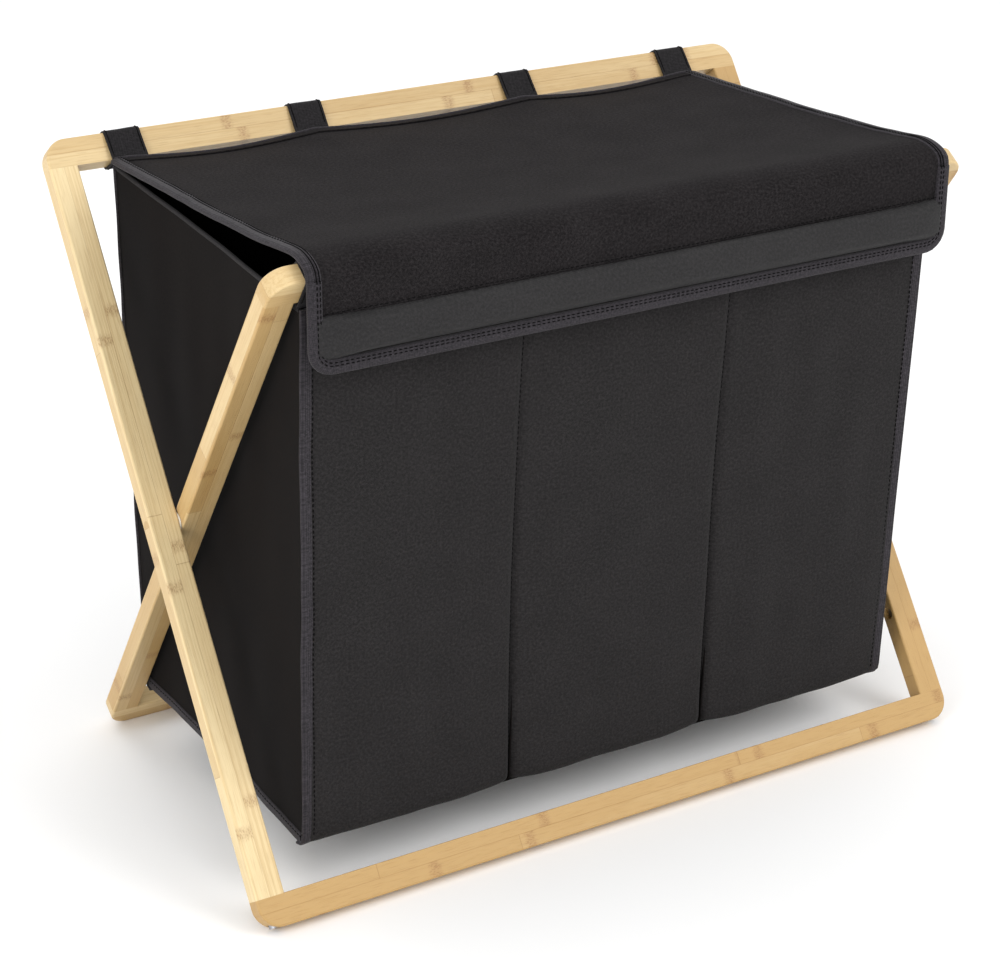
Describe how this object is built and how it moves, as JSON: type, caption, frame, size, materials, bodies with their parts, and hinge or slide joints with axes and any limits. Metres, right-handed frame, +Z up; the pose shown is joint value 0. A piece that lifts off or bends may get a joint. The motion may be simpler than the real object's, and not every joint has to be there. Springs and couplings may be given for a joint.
{
  "type": "laundry sorter",
  "caption": "folding laundry sorter: crossed bamboo frames carry a black cloth bag with side-by-side compartments and a hinged cloth lid with a hanging front flap",
  "frame": {"origin": "on the floor at the centre of the footprint", "axes": "X is the width, +Y points to the back, +Z is up"},
  "size_m": [0.72, 0.4151, 0.5776],
  "materials": {
    "bamboo": "satin, laminated strips",
    "beech": "plain",
    "zinc_steel": "zinc plated",
    "nylon": "matte",
    "tape": "woven tape",
    "twill": "polyester twill, matte",
    "lining_cloth": "non-woven, dull",
    "board": "plain"
  },
  "bodies": {
    "outer_frame": {"outer_left_leg": "bamboo", "outer_right_leg": "bamboo", "outer_top_rail": "bamboo", "outer_bottom_rail": "bamboo", "outer_frame_bolts": "zinc_steel", "outer_barrel_nuts": "zinc_steel", "outer_dowels": "beech", "pivot_bolts": "zinc_steel", "pivot_nuts": "zinc_steel", "pivot_washers": "nylon", "pivot_plugs": "bamboo", "back_loop_1": "tape", "back_loop_2": "tape", "back_loop_3": "tape", "back_loop_4": "tape"},
    "inner_frame": {"inner_left_leg": "bamboo", "inner_right_leg": "bamboo", "inner_top_rail": "bamboo", "inner_bottom_rail": "bamboo", "inner_frame_bolts": "zinc_steel", "inner_barrel_nuts": "zinc_steel", "inner_dowels": "beech", "front_loop_1": "tape", "front_loop_2": "tape", "front_loop_3": "tape", "front_loop_4": "tape"},
    "bag_back": {"bag_back_panel": "twill", "back_left_binding": "tape", "back_right_binding": "tape", "bag_left_side": "lining_cloth", "bag_right_side": "lining_cloth", "bag_left_divider": "lining_cloth", "bag_right_divider": "lining_cloth", "bag_bottom": "lining_cloth", "bottom_left_binding": "tape", "bottom_right_binding": "tape", "lid_back_hem": "tape"},
    "bag_front": {"bag_front_panel": "twill", "front_left_binding": "tape", "front_right_binding": "tape"},
    "lid": {"lid_top": "twill", "lid_left_binding": "tape", "lid_right_binding": "tape"},
    "lid_flap": {"flap_upper_band": "twill", "flap_lower_band": "twill", "flap_stiffener": "board", "flap_hem": "tape"}
  },
  "joints": [
    {"name": "fold", "type": "hinge", "parent": "outer_frame", "child": "inner_frame", "pos_m": [0, 0, 0.28739], "axis": [-1, 0, 0], "range_deg": [0, 65], "deforming": ["bag_left_side", "bag_right_side", "bag_left_divider", "bag_right_divider", "bag_bottom", "bottom_left_binding", "bottom_right_binding", "lid_top", "lid_left_binding", "lid_right_binding"]},
    {"name": "bag_back_swing", "type": "hinge", "parent": "outer_frame", "child": "bag_back", "pos_m": [0, 0.171, 0.55467], "axis": [-1, 0, 0], "range_deg": [0, 31.6]},
    {"name": "bag_front_swing", "type": "hinge", "parent": "inner_frame", "child": "bag_front", "pos_m": [0, -0.18412, 0.53053], "axis": [-1, 0, 0], "range_deg": [-29.8, 0]},
    {"name": "lid_open", "type": "hinge", "parent": "bag_back", "child": "lid", "pos_m": [0, 0.171, 0.55467], "axis": [-1, 0, 0], "range_deg": [0, 90]},
    {"name": "flap_gather", "type": "slide", "parent": "lid", "child": "lid_flap", "axis": [0, 1, 0], "range_m": [0, 0.31]}
  ],
  "couplings": [
    {"joint": "bag_back_swing", "follows": "fold", "ratio": 0.4845},
    {"joint": "bag_front_swing", "follows": "fold", "ratio": -0.457},
    {"joint": "flap_gather", "follows": "fold", "m_per_rad": 0.272}
  ]
}
